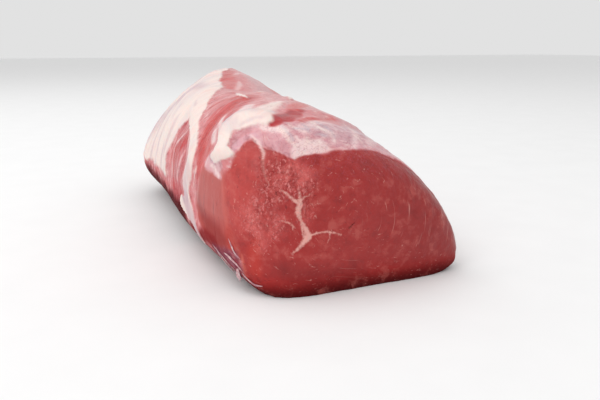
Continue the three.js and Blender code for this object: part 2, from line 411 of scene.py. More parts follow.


# The lean and its film
# Under a thin pearly film of tendon the lean shows rose, and red where the film is worn through. The film is
# thick and mottled over the shoulder. What lies low is painted deeper: painted shade under the meat. Colours
# are laid as a painter lays them, one stroke over another.
ROSE, RED, DEEP = (214, 132, 134), (198, 70, 68), (176, 38, 42)
LILAC, PEARL, ASH, CREAM = (211, 154, 161), (238, 210, 208), (196, 178, 186), (244, 222, 214)
SALMON, MAROON, VIOLET = (177, 80, 75), (74, 12, 18), (128, 60, 78)
SMOOTH_FILM_STREAKS = 0.03
LEFT_FILM = [
    (156, 28, 54), (160, 24, 60), (166, 20, 64), (172, 18, 66), (180, 14, 68), (190, 12, 62),
    (198, 12, 48), (204, 20, 40),
]
PAINT = [  # colour, share of pearly streaks, amount, softness and the strokes' paths
    # film over the shoulder, behind the cut
    (LILAC, 1, 0.9, 6, [[(8, 116, 8), (14, 108, 9), (18, 98, 10), (20, 84, 11), (20, 70, 12),
                         (22, 56, 12)]]),
    (ASH, 1, 0.35, 8, [[(22, 80, 7), (22, 68, 8), (40, 58, 10), (70, 56, 12)],
                       [(60, 64, 8), (100, 60, 10)]]),
    (PEARL, 1, 0.9, 3, [[(8.6, 108, 2.4), (10.6, 101, 4.4), (11.6, 92, 4.6), (11, 84, 3)],
                        [(22, 100, 3), (27, 106, 5), (34, 110, 6)]]),
    (CREAM, 1, 0.9, 4, [[(30, 103, 3), (38, 105, 6.5), (46, 104, 7), (52, 97, 5.5), (58, 91, 4),
                         (68, 85, 2)]]),
    (PEARL, 1, 0.7, 2, [[(10, 68, 1), (16, 66, 1.4), (24, 64, 1.8), (34, 63, 2)],
                        [(14, 76, 1), (20, 78, 1.4), (24, 84, 1)]]),
    (PEARL, 1, 0.6, 2, [[(16, 92, 1), (20, 90, 1.6), (24, 90, 1)],
                        [(12, 80, 0.8), (15, 76, 1.2), (18, 74, 0.8)]]),
    (PEARL, 1, 0.6, 3, [[(24, 86, 2), (28, 80, 3), (30, 74, 2)], [(18, 60, 2), (26, 56, 3)]]),
    (CREAM, 1, 0.7, 1.8, [[(26, 103, 0.8), (21, 102, 1.6), (17, 104, 1.4), (13, 103, 1)],
                          [(27, 94, 0.4), (23, 93, 1.2), (18, 89, 1.3), (15, 92, 0.8)],
                          [(31, 84, 0.4), (26, 81, 1.1), (20, 79.6, 1.2), (15, 76, 0.6)]]),
    (CREAM, 1, 0.5, 1.4, [[(29, 76, 0.3), (25, 72, 0.9), (21, 72, 0.8), (15, 68, 0.5)],
                          [(24, 66, 0.3), (19, 64, 0.9), (14, 62, 0.5)],
                          [(20, 86, 0.4), (21, 80, 0.8), (19, 74, 0.8), (21, 69, 0.3)],
                          [(12, 96, 0.5), (14, 90, 0.9), (13, 84, 0.6)]]),
    (PEARL, 1, 0.7, 1.2, [[(20, 98, 0.3), (16, 97, 1), (12, 98, 0.8)],
                          [(24, 88, 0.3), (18, 86, 0.9), (13, 85, 0.5)],
                          [(10, 96, 0.5), (13, 88, 1), (16, 80, 0.8)],
                          [(9.4, 88, 0.5), (10, 80, 0.9), (10.6, 72, 0.5)]]),
    (ASH, 1, 0.7, 1.6, [[(24, 99, 0.5), (19, 100, 1.2), (15, 101, 0.8)],
                        [(26, 88, 0.6), (21, 87, 1.4), (17, 88, 0.8)],
                        [(28, 79, 0.5), (22, 76, 1.2), (17, 75, 0.7)]]),
    (ASH, 1, 0.7, 2, [[(17, 84, 1), (17, 80, 1.6)], [(22, 93, 1), (21, 90, 1.4)],
                      [(31, 101, 1), (31, 104, 1)]]),
    (ASH, 1, 0.6, 2, [[(46, 112, 1), (50, 108, 1.6), (50, 103, 1)], [(38, 100, 0.8), (40, 96, 1.2)]]),
    (LILAC, 0.5, 0.8, 2.5, [[(24, 112, 1.5), (18, 114, 2.4), (15, 118, 2)],
                            [(36, 118, 2), (28, 117, 2.5), (20, 121, 2.4)]]),
    # the hollow under the cord
    ((192, 126, 134), 0.4, 0.8, 2.5, [[(31, 121, 1.5), (34, 125, 2.8), (34, 130, 2.8), (31, 135, 2)]]),
    # dark mauve marks deep in the hollow: painted shade
    ((128, 70, 76), 0.3, 0.5, 1.5, [[(32, 132, 0.6), (31, 135, 1)], [(35, 127, 0.4), (35, 130, 0.6)]]),
    ((212, 158, 168), 0.2, 0.9, 2, [[(29.5, 141, 1.2), (29.6, 136, 1.8), (29.6, 130, 2), (28.6, 125.5, 2),
                                     (25, 121, 1.6)]]),
    # worn through to the red on the back
    (DEEP, 0.05, 1.0, 2, [[(27, 103, 2.5), (30, 98, 4.2), (35, 90, 4.4), (42, 84, 3.4), (50, 80, 2.4)]]),
    ((208, 72, 68), 0.1, 0.95, 2.5, [[(46, 84, 3), (58, 79, 3.6), (68, 75, 4), (76, 72, 3)]]),
    (RED, 0.2, 0.9, 2.5, [[(28, 88, 1.5), (33, 80, 2.2), (38, 72, 2), (44, 67, 1)],
                          [(74, 73, 2), (90, 69, 1.6), (110, 66, 1)]]),
    ((150, 26, 32), 0.05, 0.7, 1.5, [[(31, 99, 0.8), (36, 92, 1.4), (42, 86, 0.8)]]),
    # the left of the back, where folds run round the girth
    ((200, 88, 90), 0.25, 0.9, 8, [[(64, 176, 5), (62, 164, 9), (64, 150, 12), (72, 130, 14), (84, 112, 12),
                                    (94, 98, 8)]]),
    (RED, 0.1, 1.0, 3, [[(66, 163, 2), (70, 155, 3), (76, 147, 3.6), (80, 138, 4), (81, 126, 4.4),
                         (82, 114, 4), (88, 102, 3), (95, 92, 2)]]),
    ((186, 50, 52), 0.05, 0.7, 1.6, [[(70, 156, 0.8), (77, 147, 1.4), (81, 136, 1.6), (82, 122, 1.6),
                                      (85, 110, 1)]]),
    ((186, 60, 60), 0.1, 0.8, 1.6, [[(70, 184, 0.6), (69, 174, 1.2), (67, 165, 1.2)],
                                    [(60, 178, 0.5), (60, 170, 0.9), (59, 163, 0.6)]]),
    (RED, 0.1, 0.9, 3, [[(62, 168, 1.5), (58, 162, 2.4), (58, 153, 2.6), (62, 146, 2)],
                        [(104, 122, 2), (101, 112, 2.4), (97, 104, 2)]]),
    (LILAC, 0.8, 0.6, 4, [[(52, 140, 2), (60, 137, 3), (70, 134, 2)]]),
    (PEARL, 0.8, 0.9, 2.5, [[(54, 141, 1.6), (60, 140, 3), (65, 137, 2.4)],
                            [(62, 130, 2.4), (66, 128, 2), (70, 122, 1.4)],
                            [(58, 118, 3), (60, 110, 4), (66, 104, 3)]]),
    (ROSE, 0.6, 0.8, 6, [[(108, 118, 4), (116, 110, 6), (128, 104, 6), (140, 100, 5)]]),
    ((190, 84, 88), 0.2, 0.7, 2, [[(112, 118, 1), (112, 110, 1.6), (108, 103, 1)],
                                  [(124, 112, 1), (124, 105, 1.4), (120, 98, 1)]]),
    # the bare lens in the fat of the left flank
    ((196, 102, 106), 0.3, 1.0, 4, [[(142, 141, 2), (134, 150, 6), (120, 158, 14), (116, 170, 18),
                                     (118, 182, 18)]]),
    ((192, 62, 64), 0.05, 1.0, 2.5, [[(113, 142, 1.5), (115, 148, 3.2), (120, 155, 4.2), (125, 162, 4),
                                      (128, 170, 3.4), (129, 180, 2)]]),
    ((196, 70, 70), 0.1, 1.0, 2, [[(108, 156, 1), (106, 164, 2), (108, 172, 2.2), (110, 180, 1.4)],
                                  [(136, 152, 0.6), (138, 162, 1.2), (138, 174, 1)]]),
    (PEARL, 0.9, 0.8, 2, [[(124, 146, 0.6), (128, 154, 1.2), (133, 162, 1.4), (134, 174, 1)],
                          [(112, 158, 0.6), (115, 166, 1), (118, 176, 1)]]),
    # the crest towards the tail
    ((208, 106, 108), 0.12, 0.9, 8, [[(140, 92, 8), (165, 94, 9), (195, 94, 10), (225, 90, 8)]]),
    ((206, 84, 82), 0.2, 0.8, 5, [[(160, 99, 3), (178, 97, 5), (198, 96, 5), (212, 95, 3)]]),
    ((198, 74, 72), 0.1, 0.8, 2.5, [[(190, 100, 1.4), (204, 97, 3), (220, 92, 3), (234, 86, 1.6)],
                                    [(236, 96, 1.4), (246, 90, 2.6), (250, 80, 2)]]),
    ((236, 196, 194), 0.3, 0.75, 3, [[(150, 98, 1), (164, 92, 2.2), (180, 88, 1.4)],
                                     [(206, 90, 1), (216, 84, 2), (224, 76, 1.2)]]),
    ((200, 150, 152), 0.35, 0.7, 8, [[(130, 78, 5), (150, 74, 8), (175, 70, 8), (205, 72, 8)]]),
]
LOW_PAINT = [  # as above, laid over the smooth film behind the cut on the left
    ((202, 98, 90), 0.03, 0.6, 3, [[(31, 158, 1.5), (30, 166, 2), (28, 174, 2), (26, 180, 1.5)]]),
    ((186, 74, 68), 0.03, 0.7, 4, [[(24, 182, 3), (24, 188, 3.8), (22, 194, 3.4)]]),
    # darker towards the bottom of the left flank
    ((146, 58, 57), 0.03, 0.75, 7, [[(62, 178, 3), (52, 183, 5), (40, 187, 6), (30, 190, 4)]]),
    ((126, 38, 40), 0.03, 0.75, 0.9, [[(57, 163, 0.2), (55, 170, 0.4), (53, 178, 0.5), (50, 188, 0.4)],
                                      [(43, 164, 0.2), (41, 172, 0.4), (40, 180, 0.4), (38, 192, 0.2)],
                                      [(35, 174, 0.2), (33, 182, 0.3), (32, 190, 0.2)]]),
    # darker still towards the foot of the left flank
    ((134, 32, 34), 0.03, 0.9, 4, [[(40, 198, 4), (50, 197, 5), (60, 197, 4), (72, 204, 4), (90, 206, 6)]]),
    ((214, 160, 166), 0.4, 0.95, 1.6, [[(34, 151, 2.6), (42, 154, 5), (52, 155, 4.6), (58, 156, 2.4)],
                                       [(38, 158, 2), (33, 159, 1.2)]]),
    (PEARL, 0.8, 0.8, 1.6, [[(48, 156, 1), (42, 157, 1.6), (36, 159, 1.2)],
                            [(56, 153, 0.8), (58, 158, 0.8)]]),
    ((176, 120, 140), 0.4, 0.7, 1.6, [[(36, 149.5, 0.6), (43, 152, 1.4), (50, 153, 0.8)]]),
    # purple folds at the foot of the cut
    ((158, 100, 114), 0.4, 0.85, 3, [[(19, 198, 1), (22, 203, 4), (26, 209, 6), (34, 212, 6),
                                      (46, 212, 4)]]),
    (VIOLET, 0.3, 0.7, 3, [[(18, 211, 2.4), (21, 205, 3.6), (27, 202, 4), (34, 202, 4), (44, 204, 4)],
                           [(22, 217, 3.6), (32, 217, 4)]]),
    ((176, 74, 84), 0.3, 0.8, 2, [[(23, 198, 0.8), (20.6, 203, 1.2), (18, 208, 0.8)],
                                  [(34, 206, 1), (28, 209, 1.4), (22, 212, 1)]]),
    ((206, 168, 180), 0.5, 0.75, 1.4, [[(44, 202, 0.4), (38, 208, 0.9), (33, 214, 1)],
                                       [(29, 203, 0.3), (25, 206, 0.7), (21, 211, 0.5)]]),
    # seams and bare places of the right flank and the tail
    (RED, 0.2, 0.7, 6, [[(60, 20, 2), (96, 16, 4), (130, 13, 5), (168, 16, 4), (206, 22, 5),
                         (250, 36, 3)]]),
    (RED, 0.2, 0.6, 7, [[(90, 50, 2), (120, 52, 5), (160, 56, 7), (196, 60, 6), (226, 62, 3)]]),
    (PEARL, 1, 0.7, 7, [[(30, 30, 5), (60, 34, 8), (90, 28, 7)],
                        [(210, 46, 5), (236, 48, 8), (256, 40, 6)]]),
    ((206, 104, 104), 0.3, 0.8, 8, [[(30, 8, 5), (50, 2, 7), (80, 358, 6)],
                                    [(262, 20, 6), (280, 60, 8), (288, 120, 8)]]),
    (LILAC, 0.8, 0.7, 5, [[(290, 20, 6), (296, 90, 8)], [(230, 10, 7), (250, 355, 7)]]),
]


def paint_over(base, colour, amount):
    """A colour laid over another: the mix of the two by an amount that may vary from point to point."""
    return base + (np.array(colour, float) - base) * amount[..., None]


def paint_strokes(base, streaky, rows):
    """The strokes laid one over another, and with each the share of pearly streaks that it leaves."""
    for colour, streaky_share, amount, softness, paths in rows:
        laid = amount * most(stroke(path, softness) for path in paths)
        base = paint_over(base, colour, laid)
        streaky = streaky + (streaky_share - streaky) * laid
    return base, streaky


low = ease((26 - smooth[..., 2]) / 26)
paint = np.zeros(behind.shape + (3,)) + ROSE
from_right = (uneven_degrees + 180) % 360 - 180
right_film = ease((62 - from_right) / 30) * ease((from_right + 50) / 40)
paint = paint_over(paint, LILAC, 0.8 * right_film)
paint = paint_over(paint, PEARL, 0.5 * ease(0.5 + cloudy(smooth, 26, 131)) * right_film)
paint, pearly = paint_strokes(paint, np.ones(behind.shape), PAINT)
smooth_film = 0.95 * patch(LEFT_FILM, softness=5, blur=9)
paint = paint_over(paint, SALMON, smooth_film)
pearly = pearly + (SMOOTH_FILM_STREAKS - pearly) * smooth_film
paint, pearly = paint_strokes(paint, pearly, LOW_PAINT)
# Painted shade: the underside and all that lies low are painted deep maroon, and made matt.
low_flank = ease((36 - smooth[..., 2] + 4 * wander[..., 2]) / 16)
shaded_underside = ease((uneven_degrees - 179) / 11) * ease((300 - degrees) / 60) * ease((behind - 92) / 20)
shaded_underside = np.maximum(shaded_underside * low_flank, low**2)
paint = paint_over(paint, MAROON, 0.95 * shaded_underside)
pearly = pearly * (1 - 0.9 * shaded_underside) * (1 - cut)
matt = np.maximum(shaded_underside, ease((degrees - 166) / 22) * ease((54 - smooth[..., 2]) / 26) * (1 - cut))

# The cut face is paler at its left lobe and where it crumbled. Painted shade makes it deeper to the
# right, where the light falls off, and along its foot and bottom lip.
CUT_RED, CUT_PALE, CUT_DEEP, CUT_ORANGE = (164, 42, 40), (192, 72, 68), (134, 30, 30), (190, 52, 40)
face_x, face_z = smooth[..., 0], smooth[..., 2]
face_paint = np.zeros(paint.shape) + CUT_RED
# painted shade: deeper to the right, where the light falls off
face_paint = paint_over(face_paint, CUT_DEEP, 0.55 * ease((face_x + 10) / 60))
left_lobe = ease((-38 - face_x) / 14 + 0.3 * wander[..., 0]) * ease((face_z - 18) / 22)
face_paint = paint_over(face_paint, CUT_PALE, 0.85 * left_lobe)
face_paint = paint_over(face_paint, (218, 104, 100), 0.9 * crumbled * ease(0.8 + wander[..., 1]))
face_paint = paint_over(face_paint, (158, 34, 34), 0.5 * crumbled * ease(0.2 - 1.5 * wander[..., 2]))
orange_edge = face_stroke([(-48, 27, 1.5), (-49, 20, 2.5), (-49, 12, 2)], softness=4)
face_paint = paint_over(face_paint, CUT_ORANGE, 0.65 * orange_edge)
pale_edge = [(16.4, 199, 0.4), (15.8, 204, 0.9), (15.3, 210, 1.1), (15, 216, 1.0), (13.8, 224, 0.6)]
face_paint = paint_over(face_paint, (222, 128, 106), 0.65 * stroke(pale_edge, softness=1.8))
# painted shade along the foot of the cut
cut_foot_shade = face_stroke([(-38, 14, 4), (-30, 10, 5), (0, 6, 5)], softness=8)
face_paint = paint_over(face_paint, CUT_DEEP, 0.6 * cut_foot_shade)
face_paint = paint_over(face_paint, PEARL, 0.5 * rim)
# painted shade: the bottom lip of the cut goes near black under its rounded edge
face_paint = paint_over(face_paint, (70, 12, 14), 0.9 * ease((9 - face_z) / 9))
paint = paint_over(paint, (236, 204, 200), 0.85 * rim)
paint = paint + (face_paint - paint) * cut[..., None]


# Relief of the skin
# Fat stands proud of the lean with rolled edges, the film is wrinkled along the fibres and folded round the
# girth, and the crumbled patch of the cut is rough. Heights are in millimetres, the belly is a clock angle.
FAT_HEIGHT, CORD_HEIGHT, LIP_HEIGHT, SWELL_HEIGHT = 0.9, 1.5, 0.5, 0.4
FOLD_HEIGHT, BAND_HEIGHT, STRAND_HEIGHT, WRINKLE_HEIGHT = 0.55, 0.6, 0.14, 0.25
BELLY = 270
CUT_GRAIN_HEIGHT, VEIN_HEIGHT, CRUMB_HEIGHT, SEAM_DEPTH, TAIL_SINK = 0.14, 0.25, 0.3, 0.7, 0.9
from_crest = np.cumsum(np.linalg.norm(np.diff(smooth, axis=1, prepend=smooth[:, :1]), axis=-1), axis=1)
from_crest = from_crest - from_crest[:, [np.abs(clocks - np.pi / 2).argmin()]]
girth = np.linalg.norm(np.diff(smooth, axis=1, append=smooth[:, :1]), axis=-1).sum(axis=1)
from_crest = np.where(degrees > BELLY, from_crest - girth[:, None], from_crest)
folded = ease((behind - 52) / 14) * ease((degrees - 84) / 16) * ease((200 - degrees) / 12)
collar = patch([(44, 4, 70), (60, 4, 56), (104, 4, 44), (112, 4, 30)], softness=12, blur=10)
crest_film = patch([(64, 150, 300), (98, 130, 300), (112, 150, 220)], softness=20, blur=12)
mottled = np.maximum(collar, 0.7 * crest_film)
left_film = patch([(156, 30, 70), (166, 28, 66), (205, 26, 70), (212, 26, 70)], softness=10, blur=10)
matt = np.maximum(matt, 0.5 * left_film * (1 - cut))
folded = np.maximum(folded, np.maximum(collar, left_film))
folds = cloudy(np.stack([from_crest * 0.1, behind + 0.12 * from_crest, 0 * behind], axis=-1), 6.5, 91)
strands = cloudy(np.stack([from_crest + 0.25 * behind, behind * 0.12, 0 * behind], axis=-1), 3.5, 95)
broadly = np.stack([from_crest * 0.04, behind + 0.2 * from_crest, 0 * behind], axis=-1)
bands = cloudy(broadly, 17, 97, layers=2)
calm = np.maximum(np.maximum(0.6 * collar, 0.35 * crest_film), 0.92 * left_film)
cord, bulb = (path for _, _, path in FAT_STROKES[1:3])
cord_height = CORD_HEIGHT * stroke(cord, softness=9) + CORD_HEIGHT * stroke(bulb, softness=7)
uncut = 1 - cut
relief = FAT_HEIGHT * ease(fat * 1.3) + LIP_HEIGHT * uncut + SWELL_HEIGHT * cloudy(smooth, 22, 81)
fold_height = FOLD_HEIGHT * folded * (1 - 0.8 * left_film) * (1 - 0.6 * tail_fat)
relief = relief + uncut * (fold_height * folds + STRAND_HEIGHT * (1 - folded) * strands)
relief = relief + uncut * (BAND_HEIGHT * folded * (1 - left_film) * bands + cord_height)
relief = relief + WRINKLE_HEIGHT * collar * uncut * cloudy(smooth, 4, 121)
crumbs_height = CRUMB_HEIGHT * crumbled * cloud(smooth, 1.6, 111)
relief = relief + cut * (CUT_GRAIN_HEIGHT * cloudy(smooth, 3, 101) + VEIN_HEIGHT * vein + crumbs_height)
tail_top = ease((behind - 170) / 70) * ease((degrees - 20) / 30) * ease((190 - degrees) / 20)
relief = relief - SEAM_DEPTH * seam - TAIL_SINK * tail_top

shape = smooth + outward * (form + relief)[..., None]
shape[..., 2] = np.maximum(shape[..., 2], 0)


def closed_mesh(name, grid):
    """A closed mesh from rings of points. The first and last ring shrink to one point and close the ends."""
    rings, count = grid.shape[0] - 2, grid.shape[1]
    points = np.vstack([grid[:1, 0], grid[1:-1].reshape(-1, 3), grid[-1:, 0]])
    ring = 1 + np.arange(rings)[:, None] * count
    here, beside = np.arange(count), (np.arange(count) + 1) % count
    quads = np.stack([ring[:-1] + here, ring[:-1] + beside, ring[1:] + beside, ring[1:] + here], axis=-1)
    first = np.stack([np.zeros(count, int), 1 + beside, 1 + here], -1)
    last = np.stack([np.full(count, len(points) - 1), ring[-1, 0] + here, ring[-1, 0] + beside], -1)
    mesh = bpy.data.meshes.new(name)
    mesh.from_pydata(points.tolist(), [], first.tolist() + quads.reshape(-1, 4).tolist() + last.tolist())
    mesh.polygons.foreach_set("use_smooth", np.ones(len(mesh.polygons), bool))
    mesh.update()
    return mesh


def ring_values(grid):
    """A value of each ring and clock in the order of the mesh's points."""
    return np.concatenate([grid[:1, 0], grid[1:-1].reshape(-1, *grid.shape[2:]), grid[-1:, 0]])


low_corner, high_corner = (np.array(corner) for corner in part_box("veal_eye_of_round"))
formed = smooth + outward * form[..., None]
middle = (formed.min(axis=(0, 1)) + formed.max(axis=(0, 1))) / 2
to_frame = (low_corner + high_corner) / 2 - middle * MM
to_frame[2] = 0

meat_mesh = closed_mesh("veal_meat", shape * MM + to_frame)
meat = bpy.data.objects.new("veal_meat", meat_mesh)
bpy.context.scene.collection.objects.link(meat)
layers = {
    "fat": fat,
    "fold_shade_and_stain": fold_shade_and_stain,
    "cut": cut,
    "vein": vein,
    "seam": seam,
    "crumbled": crumbled,
    "folded": folded,
    "pearly": pearly,
    "mottled": mottled,
    "matt": matt,
    "calm": calm,
}
for name, values in layers.items():
    layer = meat_mesh.attributes.new(name, "FLOAT", "POINT")
    layer.data.foreach_set("value", ring_values(values).astype(np.float32))
from_pole = np.cumsum(np.linalg.norm(np.diff(smooth, axis=0, prepend=smooth[:1]), axis=-1), axis=0)
lie = np.stack([from_crest, from_pole, 0 * behind], axis=-1)
lie_values = ring_values(lie).astype(np.float32).ravel()
meat_mesh.attributes.new("lie", "FLOAT_VECTOR", "POINT").data.foreach_set("vector", lie_values)


def linear(painted):
    """Linear light for colours of 0 to 255 as a screen shows them, by the screen's standard curve."""
    shown = np.clip(np.asarray(painted, float) / 255, 0, 1)
    return np.where(shown <= 0.04045, shown / 12.92, ((shown + 0.055) / 1.055) ** 2.4)


opaque = np.ones(behind.shape + (1,))
paint_values = ring_values(np.concatenate([linear(paint), opaque], axis=-1)).astype(np.float32).ravel()
meat_mesh.attributes.new("paint", "FLOAT_COLOR", "POINT").data.foreach_set("color", paint_values)


# Raw meat
# Lean muscle is moist and lets light a little way in; fat is waxy and the film is pearly. The knife, the air
# and the fibres mottle all three.
def srgb(red, green, blue):
    """A colour of 0 to 255 as the opaque linear light that the shader takes."""
    return (*linear((red, green, blue)).tolist(), 1.0)


FAT_CREAM, FAT_PINK = srgb(237, 218, 210), srgb(232, 192, 186)
FAT_GREY, FAT_FOLD_SHADE_AND_STAIN = srgb(212, 196, 198), srgb(198, 168, 176)
FILM_WHITE, FILM_SHADE, LEAN_SHADE = srgb(240, 214, 210), srgb(172, 92, 108), srgb(140, 30, 36)
CUT_FLECK, CUT_LINE, VEIN_PINK = srgb(208, 112, 102), srgb(104, 16, 20), srgb(224, 164, 154)
CRUMB_AND_GLINT_PINK = srgb(230, 140, 137)


class Recipe:
    """A material's node tree, written step by step. Each step returns a socket that a later step can take."""

    def __init__(self, name):
        self.material = bpy.data.materials.new(name)
        self.material.use_nodes = True
        self.tree = self.material.node_tree
        self.tree.nodes.clear()

    def node(self, kind, settings=(), sockets=()):
        made = self.tree.nodes.new(kind)
        for name, value in dict(settings).items():
            setattr(made, name, value)
        for name, value in dict(sockets).items():
            if isinstance(value, bpy.types.NodeSocket):
                self.tree.links.new(value, made.inputs[name])
            else:
                made.inputs[name].default_value = value
        return made

    def attribute(self, name, output="Fac"):
        return self.node("ShaderNodeAttribute", {"attribute_name": name}).outputs[output]

    def scaled(self, vector, scale):
        """A place with each of its axes stretched."""
        node = self.node("ShaderNodeMapping", sockets={"Vector": vector, "Scale": scale})
        return node.outputs["Vector"]

    def noise(self, vector, detail=3.0, roughness=0.55):
        sockets = {"Vector": vector, "Scale": 1.0, "Detail": detail, "Roughness": roughness}
        return self.node("ShaderNodeTexNoise", sockets=sockets).outputs["Fac"]

    def cells(self, vector, output="Distance"):
        """The distance to the nearest of some scattered points, or that point's colour."""
        return self.node("ShaderNodeTexVoronoi", sockets={"Vector": vector, "Scale": 1.0}).outputs[output]

    def math(self, operation, first, second=0.0, third=None):
        sockets = {0: first, 1: second}
        if third is not None:
            sockets[2] = third
        return self.node("ShaderNodeMath", {"operation": operation}, sockets).outputs[0]

    def times(self, first, second):
        return self.math("MULTIPLY", first, second)

    def average(self, first, second):
        """Half of each of two values."""
        return self.math("MULTIPLY_ADD", first, 0.5, self.times(second, 0.5))

    def frayed(self, amount, noise, reach):
        """An amount plus a noise about 0 times a reach, so that its edge frays."""
        return self.math("MULTIPLY_ADD", self.math("SUBTRACT", noise, 0.5), reach, amount)

    def span(self, value, low, high, to_low=0.0, to_high=1.0):
        """A value from low to high turned to one between two others, on an S-shaped slope."""
        sockets = {"Value": value, "From Min": low, "From Max": high, "To Min": to_low, "To Max": to_high}
        node = self.node("ShaderNodeMapRange", {"interpolation_type": "SMOOTHSTEP"}, sockets)
        return node.outputs["Result"]

    def blend(self, share, first, second):
        """The first value at a share of 0, the second at 1, and in between a mix."""
        return self.node("ShaderNodeMix", {"data_type": "FLOAT"}, {0: share, 2: first, 3: second}).outputs[0]

    def mix(self, share, first, second):
        """The first colour at a share of 0, the second at 1, and in between a mix."""
        settings = {"data_type": "RGBA", "clamp_factor": True}
        return self.node("ShaderNodeMix", settings, {0: share, 6: first, 7: second}).outputs[2]

    def bump(self, height, distance, strength=1.0, normal=None):
        sockets = {"Height": height, "Distance": distance, "Strength": strength}
        if normal is not None:
            sockets["Normal"] = normal
        return self.node("ShaderNodeBump", sockets=sockets).outputs["Normal"]

    def finish(self, shader):
        output = self.node("ShaderNodeOutputMaterial")
        self.tree.links.new(shader, output.inputs["Surface"])
        return self.material


recipe = Recipe("raw_veal")
place = recipe.node("ShaderNodeTexCoord").outputs["Object"]
lie_vector = recipe.attribute("lie", "Vector")
folded_here = recipe.attribute("folded")


def pushed(vector, noise_place, noise_settings, reach):
    """A place moved by a coloured noise times a reach, so that what is drawn there wanders."""
    noise = recipe.node("ShaderNodeTexNoise", sockets={"Vector": noise_place, **noise_settings})
    sockets = {0: noise.outputs["Color"], 1: reach, 2: vector}
    return recipe.node("ShaderNodeVectorMath", {"operation": "MULTIPLY_ADD"}, sockets).outputs["Vector"]


swayed = pushed(lie_vector, recipe.scaled(lie_vector, (0.05, 0.05, 0)), {"Scale": 1.0}, (14, 14, 0))
swayed = pushed(swayed, recipe.scaled(lie_vector, (0.2, 0.2, 0)), {"Scale": 1.0}, (6, 6, 0))


def grained(fine, along, detail=4.0):
    """Streaky noise: it runs along the muscle, and round its girth where the skin is folded."""
    lengthwise = recipe.noise(recipe.scaled(swayed, (fine, along, 0)), detail)
    girthwise = recipe.noise(recipe.scaled(swayed, (along, fine, 0)), detail)
    return recipe.blend(folded_here, lengthwise, girthwise)


streaks = grained(0.16, 0.022)
fine_streaks = grained(0.6, 0.06)
hairs = grained(2.2, 0.2, 3.0)
blotches = recipe.noise(recipe.scaled(place, (75, 75, 75)), 4.0, 0.6)
mottle = recipe.noise(recipe.scaled(place, (240, 240, 240)), 4.0, 0.6)
grain = recipe.noise(recipe.scaled(place, (700, 700, 700)), 4.0, 0.65)
crumbs = recipe.noise(recipe.scaled(place, (900, 900, 900)), 3.0, 0.7)
bundle_tint = recipe.cells(recipe.scaled(place, (230, 60, 230)), "Color")

paint_here = recipe.attribute("paint", "Color")
on_cut = recipe.attribute("cut")
off_cut = recipe.math("SUBTRACT", 1.0, on_cut)
pearly_here = recipe.attribute("pearly")
mottled_here = recipe.attribute("mottled")
streaky = recipe.average(mottle, fine_streaks)
dashes = recipe.noise(recipe.scaled(swayed, (0.22, 0.8, 0)), 4.0, 0.65)
patchy = recipe.blend(mottled_here, streaky, recipe.average(mottle, dashes))
white_streak = recipe.times(recipe.span(patchy, 0.5, 0.64, 0.0, 0.5), pearly_here)
colour = recipe.mix(white_streak, paint_here, FILM_WHITE)
lively = recipe.times(recipe.math("SUBTRACT", 1.0, recipe.attribute("calm")), off_cut)
fleck = recipe.times(recipe.span(recipe.average(grain, dashes), 0.46, 0.36, 0.0, 0.35), mottled_here)
colour = recipe.mix(fleck, colour, FILM_SHADE)
red_streak = recipe.times(recipe.span(streaky, 0.5, 0.34, 0.0, 0.5), lively)
colour = recipe.mix(red_streak, colour, LEAN_SHADE)

tint = recipe.node("ShaderNodeSeparateColor", sockets={"Color": bundle_tint}).outputs["Red"]
cut_light = recipe.span(tint, 0.0, 1.0, -0.06, 0.06)
cut_light = recipe.math("ADD", cut_light, recipe.span(mottle, 0.3, 0.7, -0.12, 0.12))
cut_light = recipe.math("ADD", cut_light, recipe.span(blotches, 0.3, 0.7, -0.12, 0.12))
cut_light = recipe.times(cut_light, on_cut)
colour = recipe.mix(recipe.span(cut_light, 0.0, 0.3, 0.0, 0.35), colour, CUT_FLECK)
colour = recipe.mix(recipe.span(cut_light, 0.0, -0.3, 0.0, 0.32), colour, CUT_LINE)


def threads(scale, offset, width, share):
    """Short thin wandering lines: where one noise is near its middle and another one, coarser, is high."""
    fine, coarse = (
        recipe.node("ShaderNodeMapping", sockets={"Vector": lie_vector, "Location": offset, "Scale": size})
        for size in (scale, (0.35, 0.35, 0))
    )
    line = recipe.math("ABSOLUTE", recipe.math("SUBTRACT", recipe.noise(fine.outputs["Vector"], 2.0), 0.5))
    picked = recipe.span(recipe.noise(coarse.outputs["Vector"], 2.0), 0.66 - share, 0.74 - share)
    return recipe.times(recipe.span(line, width, 0.0), picked)


wrinkle = recipe.times(threads((0.3, 0.42, 0), (70, 20, 0), 0.035, 0.3), mottled_here)
colour = recipe.mix(recipe.times(wrinkle, 0.4), colour, FILM_SHADE)
pale_thread = recipe.times(threads((0.09, 0.2, 0), (5, 9, 0), 0.02, 0.1), on_cut)
colour = recipe.mix(recipe.times(pale_thread, 0.42), colour, VEIN_PINK)
dark_thread = recipe.times(threads((0.16, 0.12, 0), (40, 3, 0), 0.02, 0.08), on_cut)
colour = recipe.mix(recipe.times(dark_thread, 0.6), colour, CUT_LINE)

fat_share = recipe.span(recipe.frayed(recipe.attribute("fat"), mottle, 0.65), 0.15, 0.8)
fat_colour = recipe.mix(recipe.span(streaks, 0.44, 0.72, 0.0, 0.5), FAT_CREAM, FAT_PINK)
# broad grey streaks on the fat, round the girth where it is folded: partly painted shade of the folds, partly
# its own tint
broad = grained(0.06, 0.014, 2.0)
fat_colour = recipe.mix(recipe.span(broad, 0.44, 0.7, 0.0, 0.5), fat_colour, FAT_GREY)
